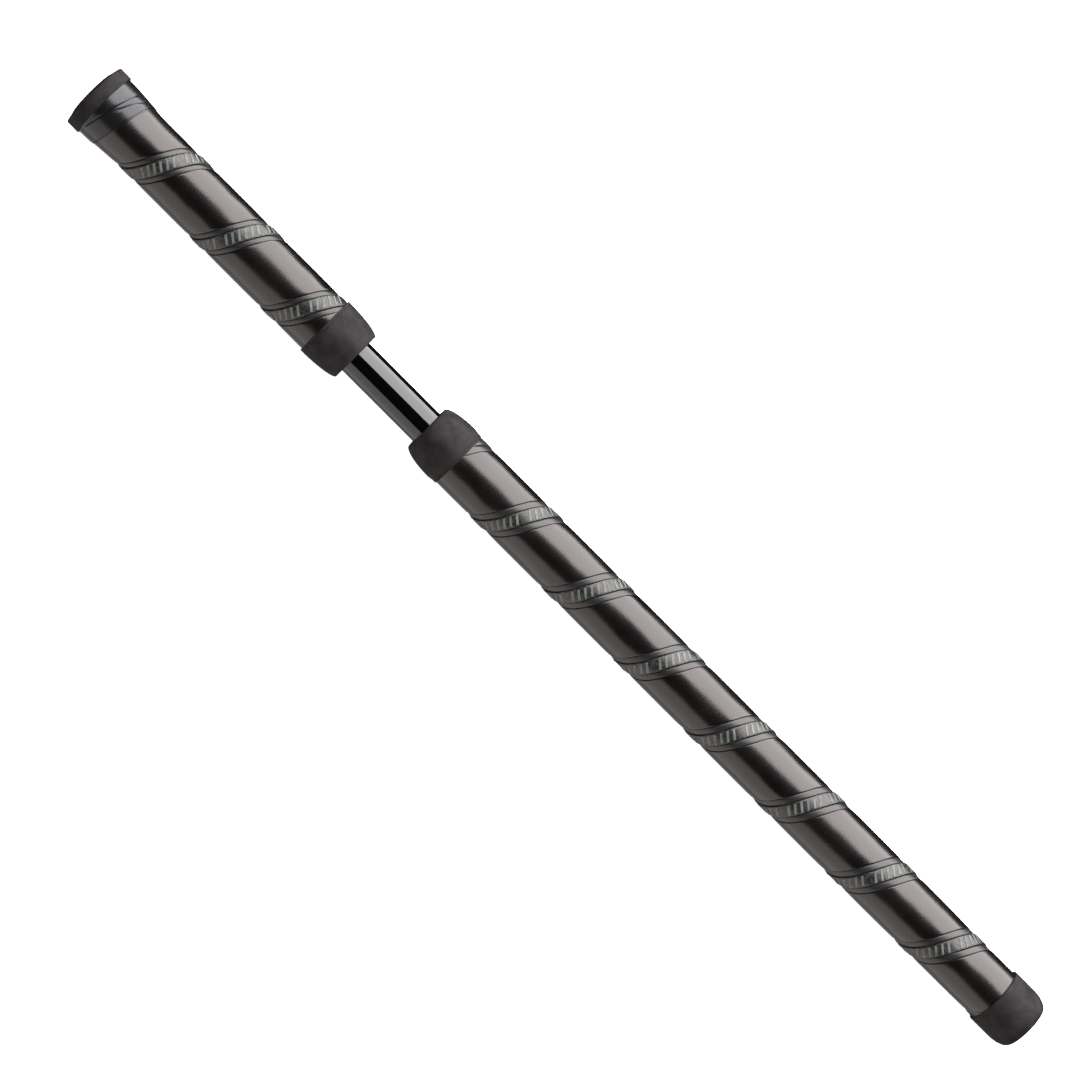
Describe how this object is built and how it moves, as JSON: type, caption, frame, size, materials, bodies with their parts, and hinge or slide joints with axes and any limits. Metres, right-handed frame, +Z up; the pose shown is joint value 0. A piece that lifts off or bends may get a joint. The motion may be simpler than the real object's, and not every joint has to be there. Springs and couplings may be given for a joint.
{
  "type": "golf swing trainer stick",
  "caption": "Short golf swing trainer baton: a long weighted wrapped grip fixed on a shaft, and a short capped handle that slides and turns on it against a spring.",
  "frame": {"origin": "below the middle of the stick's length, on the surface that it lies on", "axes": "+X along the shaft, from the capped butt of the short handle to the weighted tip; +Z up; the shaft's axis lies at the butt cap's flat-to-flat half width above the floor"},
  "size_m": [0.525, 0.0294, 0.0295],
  "materials": {
    "grip_wrap": "near-black polyurethane grip tape, satin and slightly tacky, with an embossed grey-green band along each turn",
    "charcoal_rubber": "matte moulded rubber",
    "sleeve_foam": "closed-cell foam rubber, matte",
    "black_shaft": "gloss black paint on steel",
    "bright_steel": "bright turned steel",
    "bare_aluminium": "drawn aluminium",
    "natural_nylon": "natural nylon",
    "black_plastic": "black acetal"
  },
  "bodies": {
    "long_grip": {"shaft": "black_shaft", "lower_grip_sleeve": "sleeve_foam", "lower_grip_wrap": "grip_wrap", "lower_collar": "charcoal_rubber", "tip_cap": "charcoal_rubber", "tip_plug": "black_plastic", "counterweight": "bright_steel", "weight_retainer": "charcoal_rubber", "shaft_insert": "bare_aluminium", "shoulder_screw": "bright_steel"},
    "swivel_guide": {"end_guide": "natural_nylon", "thrust_washer": "bright_steel", "damper_ring": "charcoal_rubber", "return_spring": "bright_steel"},
    "upper_handle": {"core_tube": "bare_aluminium", "front_bush": "black_plastic", "bush_pin_left": "bright_steel", "bush_pin_right": "bright_steel", "butt_plug": "black_plastic", "plug_pin": "bright_steel", "flare_sleeve": "sleeve_foam", "upper_grip_wrap": "grip_wrap", "upper_collar": "charcoal_rubber", "butt_cap": "charcoal_rubber"}
  },
  "joints": [
    {"name": "handle_swivel", "type": "hinge", "parent": "long_grip", "child": "swivel_guide", "pos_m": [0, 0, 0.01473], "axis": [1, 0, 0], "continuous": true},
    {"name": "handle_slide", "type": "slide", "parent": "swivel_guide", "child": "upper_handle", "axis": [1, 0, 0], "range_m": [0, 0.0389], "stiffness_N_per_m": 170, "springref_m": -0.02, "deforming": ["return_spring"]}
  ]
}
